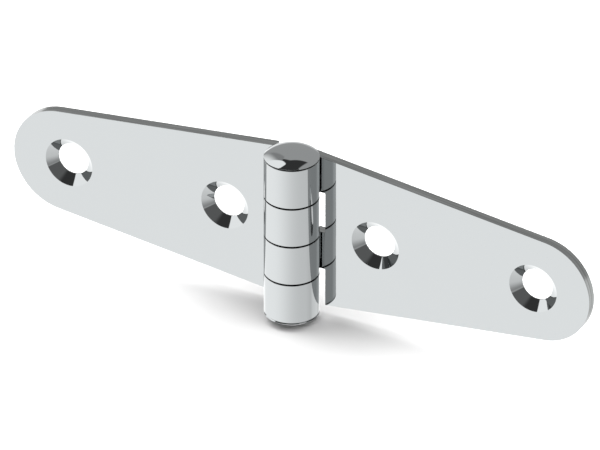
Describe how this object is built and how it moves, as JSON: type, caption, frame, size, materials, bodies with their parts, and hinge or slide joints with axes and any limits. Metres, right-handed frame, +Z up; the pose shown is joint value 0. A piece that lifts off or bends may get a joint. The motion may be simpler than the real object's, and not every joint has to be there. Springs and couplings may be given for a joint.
{
  "type": "leaf hinge",
  "caption": "Tapered two-leaf hinge with rolled knuckles, a domed pin and countersunk screw holes, in mirror-polished steel.",
  "frame": {"origin": "middle of the pin's axis, half way up the barrel", "axes": "X along the leaves when open flat, +Z up the pin, -Y out of the front, where the barrel stands proud and the countersinks open"},
  "size_m": [0.13, 0.0112, 0.0398],
  "materials": {
    "polished_steel": "mirror-polished stainless sheet",
    "polished_pin": "polished stainless bar, turned and headed"
  },
  "bodies": {
    "fixed_leaf": {"left_leaf": "polished_steel", "hinge_pin": "polished_pin", "end_cap": "polished_pin"},
    "moving_leaf": {"right_leaf": "polished_steel"}
  },
  "joints": [
    {"name": "leaf_swing", "type": "hinge", "parent": "fixed_leaf", "child": "moving_leaf", "pos_m": [0, 0, 0], "axis": [0, 0, 1], "range_deg": [-180, 90]}
  ]
}
